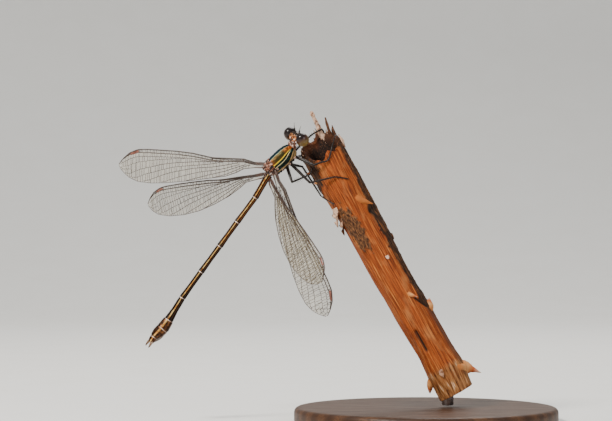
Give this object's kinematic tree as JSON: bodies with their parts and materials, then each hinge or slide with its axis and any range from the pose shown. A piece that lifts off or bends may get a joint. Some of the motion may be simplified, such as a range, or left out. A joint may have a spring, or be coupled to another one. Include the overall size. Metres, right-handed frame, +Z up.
{
  "type": "damselfly model",
  "caption": "Life-size still damselfly gripping a cut length of thorny cane, held by a rod on a flat round base.",
  "frame": {"origin": "centre of the base disc's underside, on the surface it stands on", "axes": "+Z up; +X to the right of the view that the picture takes; +Y away from that viewer"},
  "size_m": [0.0736, 0.044, 0.0519],
  "materials": {
    "stand_wood": "satin lacquered dark wood",
    "stand_steel": "brushed",
    "bark": "dry, peeling, matte",
    "thorax_bronze": "metallic bronze and teal with yellow and cream lines",
    "head_skin": "satin, mottled orange brown and cream",
    "eye": "glossy, fine facets, dark brown over olive",
    "abdomen_bronze": "near-black metallic bronze with pale rings",
    "pale_cuticle": "satin, cream and brown",
    "wing": "clear membrane, dark brown veins",
    "leg": "satin, dark with tan inner sides"
  },
  "bodies": {
    "root": {"stand_base": "stand_wood", "stand_rod": "stand_steel", "perch_stem": "bark", "thorax": "thorax_bronze", "head": "head_skin", "prothorax": "head_skin", "mouthparts": "head_skin", "eye_left": "eye", "eye_right": "eye", "abdomen_1": "abdomen_bronze", "abdomen_2": "abdomen_bronze", "abdomen_3": "abdomen_bronze", "abdomen_4": "abdomen_bronze", "abdomen_5": "abdomen_bronze", "abdomen_6": "abdomen_bronze", "abdomen_7": "abdomen_bronze", "abdomen_8": "abdomen_bronze", "abdomen_9": "abdomen_bronze", "abdomen_10": "abdomen_bronze", "ovipositor": "pale_cuticle", "cercus_left": "pale_cuticle", "cercus_right": "pale_cuticle", "wing_fore_left": "wing", "wing_hind_left": "wing", "wing_fore_right": "wing", "wing_hind_right": "wing", "antenna_left": "leg", "antenna_right": "leg", "femur_front_right": "leg", "tibia_front_right": "leg", "tarsus_front_right": "leg", "femur_front_left": "leg", "tibia_front_left": "leg", "tarsus_front_left": "leg", "femur_middle_right": "leg", "tibia_middle_right": "leg", "tarsus_middle_right": "leg", "femur_middle_left": "leg", "tibia_middle_left": "leg", "tarsus_middle_left": "leg", "femur_hind_right": "leg", "tibia_hind_right": "leg", "tarsus_hind_right": "leg", "femur_hind_left": "leg", "tibia_hind_left": "leg", "tarsus_hind_left": "leg"}
  },
  "joints": []
}
